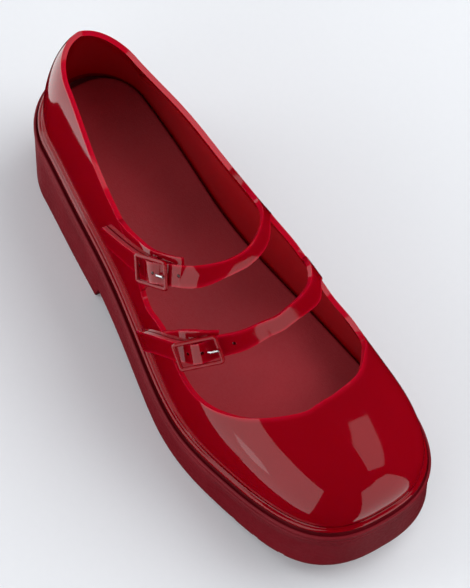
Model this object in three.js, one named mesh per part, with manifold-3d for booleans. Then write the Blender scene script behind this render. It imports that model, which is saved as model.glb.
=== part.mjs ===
// Double-strap platform mary jane, right foot, in millimetres.
// +X runs from heel to toe, +Y to the medial side, +Z up; the ground is z = 0.
// The origin is the middle of the heel's flat underside.
import * as THREE from "three";
import Module from "manifold-3d";

// Driving dimensions
const LENGTH = 262; // sole, heel to toe
const BALL_WIDTH = 92; // sole across the ball
const HEEL_HEIGHT = 49; // sole top at the heel
const BALL_HEIGHT = 31; // sole top at the ball
const HEEL_LENGTH = 86; // heel block along the ground
const HEEL_LIFT = 13.4; // step of the block's front face
const TOE_SPRING = 15.5; // underside at the toe tip
const INSTEP_HEIGHT = 82; // closed last above the sole at the rear strap
const WALL = 2.4; // moulded wall of the upper
const STRAP_WALL = 2.1; // straps and the tabs under them
const STRAP_WIDTH = 9.4; // from the lateral tab to the tail
const GAP = 0.3; // between pieces
const BASE_INSET = 3; // wall's foot inside the sole edge
const LIP_HEIGHT = 2.6; // flared lip at the wall's foot
const LIP_REACH = 2.6; // lip beyond the wall's foot
const RIM_BAND = 3.5; // band around the top of the sole's side
const RIM_REACH = 1.2; // band beyond the sole edge
const TOE_FLARE = 1.4; // underside wider than the top around the toe
const TREAD_DEPTH = 1.2;
const TREAD_WIDTH = 3;
const INSOLE_THICKNESS = 2.6;
const INSOLE_GAP = 0.65; // insole to the wall
const INSOLE_HEEL_GAP = 3.2; // added to it around the heel
const FRAME_LENGTH = 22; // buckle, along the strap
const FRAME_TILT = 3; // degrees its tail end stands off the strap
const FRAME_BAR = 1.8;
const CENTRE_BAR = 1.4; // thickness, under the strap
const PRONG = 1.1;

// Sizes that follow
const ORIGIN_X = HEEL_LENGTH / 2; // from the back of the heel
const FRAME_WIDTH = STRAP_WIDTH + 2 * (FRAME_BAR + GAP);
const BAR_SEAT = 1.5 * GAP; // centre bar above the tab
const BAR_RISE = BAR_SEAT + CENTRE_BAR + 0.6 * GAP; // lift of the strap over it
const BULGE_RUN = FRAME_LENGTH / 2 - 2.2 * FRAME_BAR; // lifted strap, each way from the centre bar

// Smooth curve through a table: natural cubic through (x, y) rows
function curve(rows, column = 1) {
  const n = rows.length;
  const x = rows.map((row) => row[0]);
  const y = rows.map((row) => row[column]);
  const bend = new Array(n).fill(0);
  const upper = new Array(n).fill(0);
  for (let i = 1; i < n - 1; i++) {
    const share = (x[i] - x[i - 1]) / (x[i + 1] - x[i - 1]);
    const pivot = share * bend[i - 1] + 2;
    bend[i] = (share - 1) / pivot;
    const step = (y[i + 1] - y[i]) / (x[i + 1] - x[i]) - (y[i] - y[i - 1]) / (x[i] - x[i - 1]);
    upper[i] = ((6 * step) / (x[i + 1] - x[i - 1]) - share * upper[i - 1]) / pivot;
  }
  bend[n - 1] = 0;
  for (let i = n - 2; i >= 0; i--) bend[i] = bend[i] * bend[i + 1] + upper[i];
  return (at) => {
    const t = Math.min(Math.max(at, x[0]), x[n - 1]);
    let i = 0;
    while (i < n - 2 && t > x[i + 1]) i++;
    const h = x[i + 1] - x[i];
    const a = (x[i + 1] - t) / h;
    const b = (t - x[i]) / h;
    return a * y[i] + b * y[i + 1] + (((a ** 3 - a) * bend[i] + (b ** 3 - b) * bend[i + 1]) * h * h) / 6;
  };
}
const mix = (a, b, t) => a + (b - a) * t;
const clamp = (v, lo, hi) => Math.min(Math.max(v, lo), hi);
const smooth = (v, lo, hi) => {
  const t = clamp((v - lo) / (hi - lo), 0, 1);
  return t * t * (3 - 2 * t);
};
const evenly = (from, to, steps) => Array.from({ length: steps + 1 }, (_, i) => mix(from, to, i / steps));

// Plan of the sole edge: share of LENGTH, centre line and half width as shares of BALL_WIDTH
const PLAN = [
  [0, 0, 0.304],
  [0.12, 0, 0.326],
  [0.25, -0.011, 0.35],
  [0.38, -0.022, 0.37],
  [0.52, -0.016, 0.435],
  [0.66, 0.005, 0.496],
  [0.78, 0.046, 0.489],
  [0.9, 0.078, 0.456],
  [1, 0.087, 0.451],
];
// Rounded ends of the plan: share of BALL_WIDTH
const HEEL_END = { length: 0.326, power: 2 };
const TOE_END = { length: 0.565, power: 2.55 };

// Sole top: share of LENGTH, share of the way down from heel height to ball height
const TOP = [
  [0, 0],
  [0.1, 0.01],
  [0.19, 0.083],
  [0.3, 0.206],
  [0.39, 0.389],
  [0.51, 0.706],
  [0.585, 0.889],
  [0.675, 1.011],
  [0.73, 0.944],
  [0.79, 0.778],
  [0.865, 0.533],
  [0.91, 0.378],
  [0.955, 0.211],
  [1, 0.04],
];

// Crest of the closed last above the sole top: share of LENGTH, share of INSTEP_HEIGHT
const CREST = [
  [0, 1],
  [0.08, 0.963],
  [0.2, 0.927],
  [0.32, 0.963],
  [0.42, 1],
  [0.5, 1],
  [0.546, 0.988],
  [0.6, 0.878],
  [0.65, 0.768],
  [0.71, 0.622],
  [0.79, 0.5],
  [0.85, 0.457],
  [0.91, 0.415],
  [0.955, 0.372],
  [1, 0.305],
];

// Cross-sections, by share of the sole edge from heel to toe:
// squareness and outward bulge (share of BALL_WIDTH) of the medial and the lateral side,
// and the sweep of the section
const SECTIONS = [
  [0, 2.0, 0, 2.0, 0, 1],
  [0.12, 2.0, -0.034, 2.0, 0, 1],
  [0.28, 2.55, 0.004, 2.14, 0, 1],
  [0.4, 2.85, 0.014, 2.3, 0, 1.32],
  [0.5, 2.9, 0.005, 2.36, 0, 1.65],
  [0.58, 3.1, -0.004, 2.42, 0, 1.8],
  [0.66, 3.1, 0.018, 2.56, 0.0016, 1.83],
  [0.78, 3.1, 0.024, 2.76, 0.005, 1.8],
  [0.9, 3.05, 0.012, 2.94, 0.0055, 1.35],
  [1, 3.0, 0.0055, 3.0, 0.0055, 1],
];
// Crest point each section runs up to: place along the edge, share of LENGTH
const CREST_LINE = [
  [0, 0.1336],
  [0.06, 0.1347],
  [0.12, 0.147],
  [0.18, 0.1794],
  [0.26, 0.2557],
  [0.36, 0.3588],
  [0.5, 0.4561],
  [0.62, 0.5324],
  [0.72, 0.5992],
  [0.8, 0.6603],
  [0.87, 0.7156],
  [0.94, 0.7595],
  [1, 0.7748],
];

// Top edge of the wall: place along the edge (lateral side negative, heel 0), share of the way over the last
const RIM = [
  [-1, 0.926],
  [-0.97, 0.896],
  [-0.94, 0.846],
  [-0.9, 0.768],
  [-0.854, 0.678],
  [-0.813, 0.602],
  [-0.765, 0.522],
  [-0.72, 0.453],
  [-0.68, 0.395],
  [-0.645, 0.358],
  [-0.61, 0.346],
  [-0.575, 0.352],
  [-0.542, 0.343],
  [-0.514, 0.31],
  [-0.49, 0.28],
  [-0.47, 0.285],
  [-0.445, 0.32],
  [-0.41, 0.352],
  [-0.37, 0.371],
  [-0.33, 0.38],
  [-0.281, 0.407],
  [-0.235, 0.446],
  [-0.19, 0.485],
  [-0.145, 0.515],
  [-0.1, 0.532],
  [-0.05, 0.54],
  [0, 0.535],
  [0.06, 0.52],
  [0.12, 0.51],
  [0.18, 0.505],
  [0.24, 0.49],
  [0.29, 0.47],
  [0.33, 0.455],
  [0.37, 0.45],
  [0.41, 0.455],
  [0.45, 0.465],
  [0.48, 0.455],
  [0.505, 0.425],
  [0.535, 0.415],
  [0.56, 0.4],
  [0.585, 0.365],
  [0.61, 0.325],
  [0.637, 0.34],
  [0.67, 0.385],
  [0.71, 0.44],
  [0.753, 0.514],
  [0.798, 0.578],
  [0.839, 0.642],
  [0.878, 0.723],
  [0.916, 0.806],
  [0.96, 0.886],
  [1, 0.926],
];

// Straps and tabs grow out of the wall's top edge between two places along it.
// Rows: back edge (place along the edge, share over the last), front edge (the same);
// a share above 1 has crossed the crest to the lateral side.
const STRIPS = {
  strap_rear: {
    root: [0.39, 0.488],
    side: 1,
    rows: [
      [0.39, 0.448, 0.488, 0.45],
      [0.455, 0.5, 0.52, 0.555],
      [0.513, 0.595, 0.569, 0.656],
      [0.578, 0.72, 0.624, 0.756],
      [0.64, 0.875, 0.672, 0.885],
      [0.656, 1, 0.686, 1.005],
      [0.612, 1.207, 0.637, 1.235],
      [0.535, 1.36, 0.562, 1.405],
      [0.443, 1.55, 0.462, 1.605],
      [0.343, 1.751, 0.363, 1.806],
    ],
  },
  strap_front: {
    root: [0.562, 0.59],
    side: 1,
    rows: [
      [0.562, 0.398, 0.59, 0.355],
      [0.59, 0.475, 0.613, 0.45],
      [0.624, 0.55, 0.65, 0.552],
      [0.684, 0.657, 0.706, 0.639],
      [0.738, 0.764, 0.763, 0.756],
      [0.774, 0.87, 0.8, 0.873],
      [0.789, 0.985, 0.816, 0.995],
      [0.775, 1.11, 0.8, 1.12],
      [0.741, 1.228, 0.764, 1.247],
      [0.7, 1.315, 0.722, 1.346],
      [0.652, 1.417, 0.67, 1.46],
      [0.591, 1.556, 0.606, 1.595],
      [0.479, 1.902, 0.509, 1.922],
    ],
  },
  tab_rear: {
    root: [-0.362, -0.464],
    side: -1,
    rows: [
      [0.362, 0.372, 0.464, 0.3],
      [0.392, 0.41, 0.478, 0.385],
      [0.426, 0.464, 0.495, 0.46],
      [0.461, 0.526, 0.518, 0.525],
      [0.5, 0.607, 0.543, 0.585],
      [0.55, 0.705, 0.572, 0.66],
    ],
  },
  tab_front: {
    root: [-0.545, -0.594],
    side: -1,
    rows: [
      [0.545, 0.342, 0.594, 0.348],
      [0.572, 0.425, 0.606, 0.42],
      [0.6, 0.5, 0.622, 0.48],
      [0.632, 0.57, 0.645, 0.53],
      [0.667, 0.635, 0.675, 0.585],
      [0.702, 0.7, 0.705, 0.64],
    ],
  },
};
// Buckles: the strap they sit on and the share of its length under their centre bar
const BUCKLES = {
  rear: { strip: "strap_rear", place: 0.663 },
  front: { strip: "strap_front", place: 0.614 },
};

const halfWidth = curve(PLAN, 2);
const centre = curve(PLAN, 1);
const topShare = curve(TOP);
const crestShare = curve(CREST);
const soleTop = (x) => mix(HEEL_HEIGHT, BALL_HEIGHT, topShare(x / LENGTH));
const squareness = { 1: curve(SECTIONS, 1), [-1]: curve(SECTIONS, 3) };
const bulge = { 1: curve(SECTIONS, 2), [-1]: curve(SECTIONS, 4) };
const sweep = curve(SECTIONS, 5);
const crestLine = curve(CREST_LINE);
const rim = curve(RIM);

// A point of the sole edge at turn t (0 heel, 1 toe) on one side
function planPoint(side, t) {
  const x = (LENGTH / 2) * (1 - Math.cos(Math.PI * t));
  const heel = BALL_WIDTH * HEEL_END.length;
  const toe = BALL_WIDTH * TOE_END.length;
  const a = clamp((heel - x) / heel, 0, 1);
  const b = clamp((x - LENGTH + toe) / toe, 0, 1);
  const round =
    (1 - a ** HEEL_END.power) ** (1 / HEEL_END.power) * (1 - b ** TOE_END.power) ** (1 / TOE_END.power);
  return [x, BALL_WIDTH * (centre(x / LENGTH) + side * halfWidth(x / LENGTH) * round)];
}

// The same point by share of the edge's own length, moved inward by inset
const TURNS = 400;
const lengths = {};
for (const side of [1, -1]) {
  const run = [0];
  for (let i = 1; i <= TURNS; i++) {
    const [x0, y0] = planPoint(side, (i - 1) / TURNS);
    const [x1, y1] = planPoint(side, i / TURNS);
    run.push(run[i - 1] + Math.hypot(x1 - x0, y1 - y0));
  }
  lengths[side] = run.map((v) => v / run[TURNS]);
}
function turnAt(side, share) {
  const run = lengths[side];
  let i = 0;
  while (i < TURNS - 1 && run[i + 1] < share) i++;
  return (i + clamp((share - run[i]) / (run[i + 1] - run[i]), 0, 1)) / TURNS;
}
function edgeAtTurn(side, t, inset) {
  const [x, y] = planPoint(side, t);
  const [x0, y0] = planPoint(side, Math.max(t - 1e-3, 0));
  const [x1, y1] = planPoint(side, Math.min(t + 1e-3, 1));
  const long = Math.hypot(x1 - x0, y1 - y0);
  const end = t === 0 || t === 1;
  const nx = end ? (t === 0 ? -1 : 1) : (-(y1 - y0) / long) * side;
  const ny = end ? 0 : ((x1 - x0) / long) * side;
  return [x - nx * inset, y - ny * inset];
}
const edge = (side, share, inset) => edgeAtTurn(side, turnAt(side, share), inset);

// The closed last: place along the edge s (0..1) and share v over the section (0 foot, 1 crest)
function last(side, s, v) {
  if (v > 1) return last(-side, s, 2 - v);
  const [bx, by] = edge(side, clamp(s, 0, 1), BASE_INSET);
  const tx = LENGTH * crestLine(s);
  const ty = BALL_WIDTH * centre(tx / LENGTH);
  const angle = (v * Math.PI) / 2;
  const power = squareness[side](s);
  const c = Math.max(Math.cos(angle), 0);
  const d = Math.max(Math.sin(angle), 0);
  const k = (c ** power + d ** power) ** (1 / power);
  const out = c / k + ((BALL_WIDTH * bulge[side](s)) / Math.hypot(bx - tx, by - ty)) * Math.sin(2 * angle);
  const x = tx + (bx - tx) * Math.max(out, 0) ** sweep(s);
  const y = ty + (by - ty) * out;
  const z = soleTop(x) + GAP + (INSTEP_HEIGHT * crestShare(x / LENGTH) * d) / k;
  return new THREE.Vector3(x, y, z);
}
// Outward normal of the last
function lastNormal(side, s, v) {
  const e = 2e-3;
  const s0 = clamp(s, e, 1 - e);
  const along = last(side, s0 + e, v).sub(last(side, s0 - e, v));
  const over = last(side, s0, v + e).sub(last(side, s0, v - e));
  const n = new THREE.Vector3().crossVectors(over, along).normalize();
  if (s < 1e-6 || s > 1 - 1e-6) n.y = 0;
  return n.multiplyScalar(side).normalize();
}

// Mesh bookkeeping
class Shell {
  constructor() {
    this.points = [];
    this.faces = [];
  }
  add(p) {
    this.points.push(p);
    return this.points.length - 1;
  }
  quad(a, b, c, d) {
    for (const face of [
      [a, b, c],
      [a, c, d],
    ])
      if (new Set(face).size === 3) this.faces.push(face);
  }
  geometry() {
    const g = new THREE.BufferGeometry();
    const place = this.points.flatMap((p) => [p.x - ORIGIN_X, p.y, p.z]);
    g.setAttribute("position", new THREE.Float32BufferAttribute(place, 3));
    g.setIndex(this.faces.flat());
    return g;
  }
}

// Upper: one moulded wall with its straps and tabs
const stripCurves = {};
for (const [name, { side, rows }] of Object.entries(STRIPS)) {
  const middle = rows.map(([sb, vb, sf, vf]) => last(side, (sb + sf) / 2, (vb + vf) / 2));
  const run = [0];
  for (let i = 1; i < rows.length; i++) run.push(run[i - 1] + middle[i].distanceTo(middle[i - 1]));
  const spaced = rows.map((row, i) => [run[i] / run.at(-1), ...row]);
  stripCurves[name] = [1, 2, 3, 4].map((column) => curve(spaced, column));
}
// Place on the last of a strip: share t of its length, share k from back edge (0) to front edge (1)
function stripPlace(name, t, k) {
  const [sb, vb, sf, vf] = stripCurves[name].map((f) => f(t));
  return [mix(sb, sf, k), mix(vb, vf, k)];
}
const stripWidth = (name, t) => last(1, ...stripPlace(name, t, 0)).distanceTo(last(1, ...stripPlace(name, t, 1)));
// Length along a strap's middle from its buckle, towards the tail
const lengthOf = {};
const shareOf = {};
for (const { strip, place } of Object.values(BUCKLES)) {
  const table = [];
  let length = 0;
  let before = null;
  for (let i = 0; i <= 100; i++) {
    const p = last(1, ...stripPlace(strip, i / 100, 0.5));
    if (before) length += p.distanceTo(before);
    table.push([i / 100, length]);
    before = p;
  }
  const at = curve(table)(place);
  lengthOf[strip] = curve(table.map(([t, l]) => [t, l - at]));
  shareOf[strip] = curve(table.map(([t, l]) => [l - at, t]));
}
// Lift of a strap by the buckle's centre bar
const barLift = (length) => BAR_RISE * (1 - smooth(Math.abs(length), 0.16 * BULGE_RUN, BULGE_RUN));
// Height of a strap's outer face above the last: past the crest it climbs onto the lateral tab
function stripLift(name, t, v) {
  if (STRIPS[name].side < 0) return 0;
  return (STRAP_WALL + GAP) * smooth(v, 0.75, 1.25) + barLift(lengthOf[name](t));
}
// Straps keep one width from the crest to the tail
function stripShare(name, t, k) {
  if (STRIPS[name].side < 0) return k;
  const past = smooth(stripPlace(name, t, 0.5)[1], 1, 1.35);
  return 0.5 + (k - 0.5) * mix(1, STRAP_WIDTH / stripWidth(name, t), past);
}
// Rows of the mesh along a strip
function stripSteps(name) {
  if (STRIPS[name].side < 0) return evenly(0, 1, 13).slice(1);
  const clear = evenly(0, 1, 29).slice(1).filter((t) => Math.abs(lengthOf[name](t)) > 1.2 * BULGE_RUN);
  const raised = [-1, -0.77, -0.56, -0.35, -0.16, 0.16, 0.35, 0.56, 0.77, 1].map((share) =>
    shareOf[name](share * BULGE_RUN),
  );
  return [...clear, ...raised].sort((a, b) => a - b);
}

// Mesh columns around the wall: place along the edge, and the strip that grows there
const ROOT_SHARE = 0.12; // part of a strip's length that blends into the wall
const ACROSS = 5;
const WALL_ROWS = 9;
const COLUMN_STEP = 0.0245;
const roots = Object.entries(STRIPS).map(([name, { root }]) => [Math.min(...root), Math.max(...root), name]);
const marks = [...roots, [0, 0, null]].sort((a, b) => a[0] - b[0]);
const places = [];
const stripColumns = {};
function addPlaces(from, to, count) {
  for (let i = 0; i < count; i++) places.push(mix(from, to, i / count));
}
let reached = -1;
for (const [from, to, name] of [...marks, [1, 1, null]]) {
  addPlaces(reached, from, Math.max(4, Math.round((from - reached) / COLUMN_STEP)));
  if (name) {
    stripColumns[name] = [places.length, places.length + ACROSS];
    addPlaces(from, to, ACROSS);
  }
  reached = to;
}

function makeUpper() {
  const shell = new Shell();
  const columns = places.map((place) => {
    const side = place < 0 ? -1 : 1;
    const s = Math.abs(place);
    const outer = [];
    const inner = [];
    const lip = (inset, height) => {
      const [x, y] = edge(side, s, inset);
      return shell.add(new THREE.Vector3(x, y, soleTop(x) + GAP + height));
    };
    outer.push(
      lip(BASE_INSET - LIP_REACH, 0),
      lip(BASE_INSET - LIP_REACH, LIP_HEIGHT * 0.45),
      lip(BASE_INSET - LIP_REACH * 0.35, LIP_HEIGHT),
    );
    inner.push(lip(BASE_INSET + WALL, 0));
    for (let j = 0; j <= WALL_ROWS; j++) {
      const v = mix(0.06, rim(place), j / WALL_ROWS);
      const p = last(side, s, v);
      outer.push(shell.add(p));
      inner.push(shell.add(p.clone().addScaledVector(lastNormal(side, s, v), -WALL)));
    }
    return { outer, inner };
  });
  const n = columns.length;
  for (let i = 0; i < n; i++) {
    const a = columns[i];
    const b = columns[(i + 1) % n];
    for (let j = 0; j + 1 < a.outer.length; j++)
      shell.quad(a.outer[j], a.outer[j + 1], b.outer[j + 1], b.outer[j]);
    for (let j = 0; j + 1 < a.inner.length; j++)
      shell.quad(a.inner[j], b.inner[j], b.inner[j + 1], a.inner[j + 1]);
    shell.quad(a.outer[0], b.outer[0], b.inner[0], a.inner[0]);
  }
  const topOf = (i) => [columns[i % n].outer.at(-1), columns[i % n].inner.at(-1)];
  const covered = new Set();
  for (const [name, [first, end]] of Object.entries(stripColumns)) {
    const strip = STRIPS[name];
    const back = Math.abs(places[first]) < Math.abs(places[end]) ? 0 : 1;
    let before = [];
    for (let i = first; i <= end; i++) before.push(topOf(i));
    for (let i = first; i < end; i++) covered.add(i);
    for (const t of stripSteps(name)) {
      const row = [];
      for (let i = 0; i <= end - first; i++) {
        const k = back ? 1 - i / (end - first) : i / (end - first);
        const [s, v] = stripPlace(name, t, stripShare(name, t, k));
        const rootS = Math.abs(places[first + i]);
        const [s0] = stripPlace(name, 0, k);
        const [, v0] = stripPlace(name, 0, k);
        const fade = Math.max(1 - t / ROOT_SHARE, 0) ** 2;
        const at = [s + (rootS - s0) * fade, v + (rim(places[first + i]) - v0) * fade];
        const p = last(strip.side, ...at);
        const normal = at[1] > 1 ? lastNormal(-strip.side, at[0], 2 - at[1]) : lastNormal(strip.side, ...at);
        const lift = stripLift(name, t, at[1]);
        const wall = mix(WALL, STRAP_WALL, smooth(t, 0, 2 * ROOT_SHARE));
        row.push([
          shell.add(p.clone().addScaledVector(normal, lift)),
          shell.add(p.clone().addScaledVector(normal, lift - wall)),
        ]);
      }
      for (let i = 0; i < end - first; i++) {
        shell.quad(before[i][0], row[i][0], row[i + 1][0], before[i + 1][0]);
        shell.quad(before[i][1], before[i + 1][1], row[i + 1][1], row[i][1]);
      }
      const m = end - first;
      shell.quad(before[0][0], before[0][1], row[0][1], row[0][0]);
      shell.quad(before[m][0], row[m][0], row[m][1], before[m][1]);
      before = row;
    }
    for (let i = 0; i < end - first; i++) shell.quad(before[i][0], before[i][1], before[i + 1][1], before[i + 1][0]);
  }
  for (let i = 0; i < n; i++) {
    if (covered.has(i)) continue;
    const [a, ai] = topOf(i);
    const [b, bi] = topOf(i + 1);
    shell.quad(a, ai, bi, b);
  }
  return shell.geometry();
}

// Sole: platform and heel block in one
const BALL_FLAT = [0.605, 0.69]; // stretch of the forefoot on the ground, share of LENGTH
const BREAST_RUN = 0.3 * HEEL_LIFT; // slope of the block's front face
function soleBottom(x) {
  const [from, to] = BALL_FLAT.map((share) => share * LENGTH);
  const arch = HEEL_LENGTH + BREAST_RUN;
  if (x <= HEEL_LENGTH) return 0;
  if (x < arch) return (HEEL_LIFT * (x - HEEL_LENGTH)) / BREAST_RUN;
  if (x < from) return HEEL_LIFT * ((from - x) / (from - arch)) ** 1.15;
  if (x < to) return 0;
  return TOE_SPRING * ((x - to) / (LENGTH - to)) ** 1.7;
}
// Tread grooves across the underside: back edge, share of HEEL_LENGTH and of LENGTH
const HEEL_GROOVES = [0.25, 0.4, 0.55, 0.7];
const BALL_GROOVES = [0.615, 0.665, 0.715, 0.765, 0.815, 0.865, 0.915];
// Side of the sole: measured from its top (t) or bottom (b), reach as share of RIM_REACH,
// distance down or up as share of RIM_BAND
const SOLE_SIDE = [
  ["t", 0.17, 0],
  ["t", 1, 0.23],
  ["t", 1, 0.94],
  ["t", 0.42, 1.06],
  ["t", 0.42, 1.23],
  ["t", 0.92, 1.34],
  ["t", 0.83, 2.86],
  ["b", 0.83, 0.86],
  ["b", 0.5, 0.26],
  ["b", -0.25, 0],
];
const turnAtX = (x) => Math.acos(clamp(1 - (2 * x) / LENGTH, -1, 1)) / Math.PI;
// Stations from heel to toe: x, depth of the tread there
function soleStations() {
  const slope = 0.4 * TREAD_DEPTH;
  const grooves = [...HEEL_GROOVES.map((share) => share * HEEL_LENGTH), ...BALL_GROOVES.map((share) => share * LENGTH)];
  const plain = [HEEL_LENGTH, HEEL_LENGTH + BREAST_RUN, ...BALL_FLAT.map((share) => share * LENGTH)];
  for (let i = 0; i <= 34; i++) plain.push((LENGTH / 2) * (1 - Math.cos((Math.PI * i) / 34)));
  const clear = plain.filter((x) => grooves.every((g) => x < g - slope || x > g + TREAD_WIDTH + slope));
  const cut = grooves.flatMap((g) => [
    [g, 0],
    [g + slope, TREAD_DEPTH],
    [g + TREAD_WIDTH - slope, TREAD_DEPTH],
    [g + TREAD_WIDTH, 0],
  ]);
  return [...clear.map((x) => [x, 0]), ...cut].sort((a, b) => a[0] - b[0]);
}
function makeSole() {
  const shell = new Shell();
  const columns = soleStations().map(([x, groove]) => {
    const t = turnAtX(x);
    return [-1, 1].map((side) =>
      SOLE_SIDE.map(([from, reach, height]) => {
        const flare = from === "b" ? TOE_FLARE * smooth(x / LENGTH, 0.8, 0.97) : 0;
        const [px, py] = edgeAtTurn(side, t, -RIM_REACH * reach - flare);
        const pz = from === "t" ? soleTop(x) - RIM_BAND * height : soleBottom(x) + groove + RIM_BAND * height;
        return shell.add(new THREE.Vector3(px, py, pz));
      }),
    );
  });
  for (const column of [columns[0], columns.at(-1)]) column[1] = column[0];
  const foot = SOLE_SIDE.length - 1;
  for (let i = 0; i + 1 < columns.length; i++) {
    const [al, am] = columns[i];
    const [bl, bm] = columns[i + 1];
    for (let j = 0; j < foot; j++) {
      shell.quad(am[j], bm[j], bm[j + 1], am[j + 1]);
      shell.quad(al[j], al[j + 1], bl[j + 1], bl[j]);
    }
    shell.quad(am[0], al[0], bl[0], bm[0]);
    shell.quad(am[foot], bm[foot], bl[foot], al[foot]);
  }
  return shell.geometry();
}

// Insole: a thin footbed inside the wall
function makeInsole() {
  const shell = new Shell();
  const inset = (t) => BASE_INSET + WALL + INSOLE_GAP + INSOLE_HEEL_GAP * (1 - smooth(t, 0, 0.16));
  // Edge of the footbed: set in, height, both shares of INSOLE_THICKNESS
  const rows = [
    [0.2, 0],
    [0, 0.2],
    [0, 0.73],
    [0.27, 1],
  ];
  const columns = [];
  for (let i = 0; i <= 44; i++) {
    const t = i / 44;
    const end = i === 0 || i === 44;
    const column = [1, -1].map((side) =>
      rows.map(([setIn, height]) => {
        const [x, y] = edgeAtTurn(side, t, inset(t) + INSOLE_THICKNESS * setIn);
        return shell.add(new THREE.Vector3(x, y, soleTop(x) + GAP + INSOLE_THICKNESS * height));
      }),
    );
    if (end) column[1] = column[0];
    columns.push(column);
  }
  for (let i = 0; i + 1 < columns.length; i++) {
    const [am, al] = columns[i];
    const [bm, bl] = columns[i + 1];
    for (let j = 0; j < 3; j++) {
      shell.quad(am[j], am[j + 1], bm[j + 1], bm[j]);
      shell.quad(al[j], bl[j], bl[j + 1], al[j + 1]);
    }
    shell.quad(am[0], bm[0], bl[0], al[0]);
    shell.quad(am[3], al[3], bl[3], bm[3]);
  }
  return shell.geometry();
}

// Middle and axes of a buckle: along the strap towards the tail, across it to the toe, outward
function buckleAxes(name) {
  const onStrap = (along, across) => {
    const t = shareOf[name](along);
    return last(1, ...stripPlace(name, t, 0.5 + across / stripWidth(name, t)));
  };
  const along = onStrap(1, 0).sub(onStrap(-1, 0)).normalize();
  const out = along.clone().cross(onStrap(0, 1).sub(onStrap(0, -1))).normalize();
  const across = out.clone().cross(along);
  for (const axis of [along, out]) axis.applyAxisAngle(across, (-FRAME_TILT * Math.PI) / 180);
  return { middle: onStrap(0, 0), axes: [along, across, out] };
}
const wasm = await Module();
wasm.setup();
function solid(geometry) {
  const vertProperties = geometry.getAttribute("position").array;
  return new wasm.Manifold(new wasm.Mesh({ numProp: 3, vertProperties, triVerts: Uint32Array.from(geometry.index.array) }));
}
function geometryOf(manifold) {
  const mesh = manifold.getMesh();
  const g = new THREE.BufferGeometry();
  g.setAttribute("position", new THREE.BufferAttribute(mesh.vertProperties, 3));
  g.setIndex(new THREE.BufferAttribute(mesh.triVerts, 1));
  return g;
}
// A bar of a buckle: each station turns the section's corners into length along the strap,
// distance across it and height above the last
function bar(name, section, stations, closed = false) {
  const shell = new Shell();
  const { middle, axes } = buckleAxes(name);
  const put = (lengths) => lengths.reduce((p, length, i) => p.addScaledVector(axes[i], length), middle.clone());
  const rings = stations.map((place) => section.map((corner) => shell.add(put(place(...corner)))));
  const n = rings.length;
  const m = section.length;
  for (let i = 0; i < (closed ? n : n - 1); i++)
    for (let j = 0; j < m; j++)
      shell.quad(rings[i][j], rings[(i + 1) % n][j], rings[(i + 1) % n][(j + 1) % m], rings[i][(j + 1) % m]);
  if (!closed)
    for (let j = 1; j + 1 < m; j++) {
      shell.faces.push([rings[0][0], rings[0][j], rings[0][j + 1]]);
      shell.faces.push([rings[n - 1][0], rings[n - 1][j + 1], rings[n - 1][j]]);
    }
  return shell.geometry();
}
const oblong = (a0, a1, b0, b1) => [
  [a0, b0],
  [a1, b0],
  [a1, b1],
  [a0, b1],
];
function makeFrame(name) {
  const low = GAP + STRAP_WALL + GAP;
  const half = FRAME_BAR / 2;
  const section = [];
  for (let i = 0; i < 8; i++) {
    const a = ((2 * i + 1) * Math.PI) / 8;
    section.push([1.082 * half * Math.cos(a), low + half + 1.082 * half * Math.sin(a)]);
  }
  // Round the frame on the middle of its bar
  const radius = 0.15 * FRAME_WIDTH - half;
  const dx = FRAME_LENGTH / 2 - half - radius;
  const dy = FRAME_WIDTH / 2 - half - radius;
  const path = [];
  for (const [sx, sy, turn] of [
    [1, 1, 0],
    [-1, 1, 90],
    [-1, -1, 180],
    [1, -1, 270],
  ]) {
    for (const extra of [0, 30, 60, 90]) path.push([sx * dx, sy * dy, turn + extra]);
    const [nx, ny] = sx === sy ? [-sx, sy] : [sx, -sy];
    for (const share of sx === sy ? [0.2, 0.4, 0.6, 0.8] : [0.33, 0.67])
      path.push([mix(sx, nx, share) * dx, mix(sy, ny, share) * dy, turn + 90]);
  }
  const stations = path.map(([x, y, degrees]) => (out, height) => {
    const a = (degrees * Math.PI) / 180;
    return [x + (radius + out) * Math.cos(a), y + (radius + out) * Math.sin(a), height];
  });
  const ring = bar(name, section, stations, true);
  const side = FRAME_WIDTH / 2;
  const across = evenly(-side + 0.2 * FRAME_BAR, side - 0.2 * FRAME_BAR, 4);
  const centreBar = bar(
    name,
    oblong(-0.45 * FRAME_BAR, 0.45 * FRAME_BAR, BAR_SEAT, BAR_SEAT + CENTRE_BAR),
    across.map((y) => (x, height) => [x, y, height]),
  );
  const posts = [1, -1].map((s) =>
    bar(
      name,
      oblong(-0.65 * FRAME_BAR, 0.65 * FRAME_BAR, BAR_SEAT, low + half),
      [side - 0.95 * FRAME_BAR, side - 0.15 * FRAME_BAR]
        .map((y) => s * y)
        .sort((a, b) => a - b)
        .map((y) => (x, height) => [x, y, height]),
    ),
  );
  return geometryOf([centreBar, ...posts].reduce((joined, piece) => joined.add(solid(piece)), solid(ring)));
}
function makeProng(name) {
  const from = GAP + STRAP_WALL + GAP;
  const end = FRAME_LENGTH / 2;
  const stations = evenly(-end + 0.3 * FRAME_BAR, -0.45 * end, 6).map((x) => {
    const rise = GAP + FRAME_BAR * (1 - 0.35 * smooth(x, -0.6 * end, -0.45 * end));
    return (y, z) => [x, -y, from + rise + z];
  });
  return bar(name, oblong(-PRONG / 2, PRONG / 2, 0, PRONG), stations);
}

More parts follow.
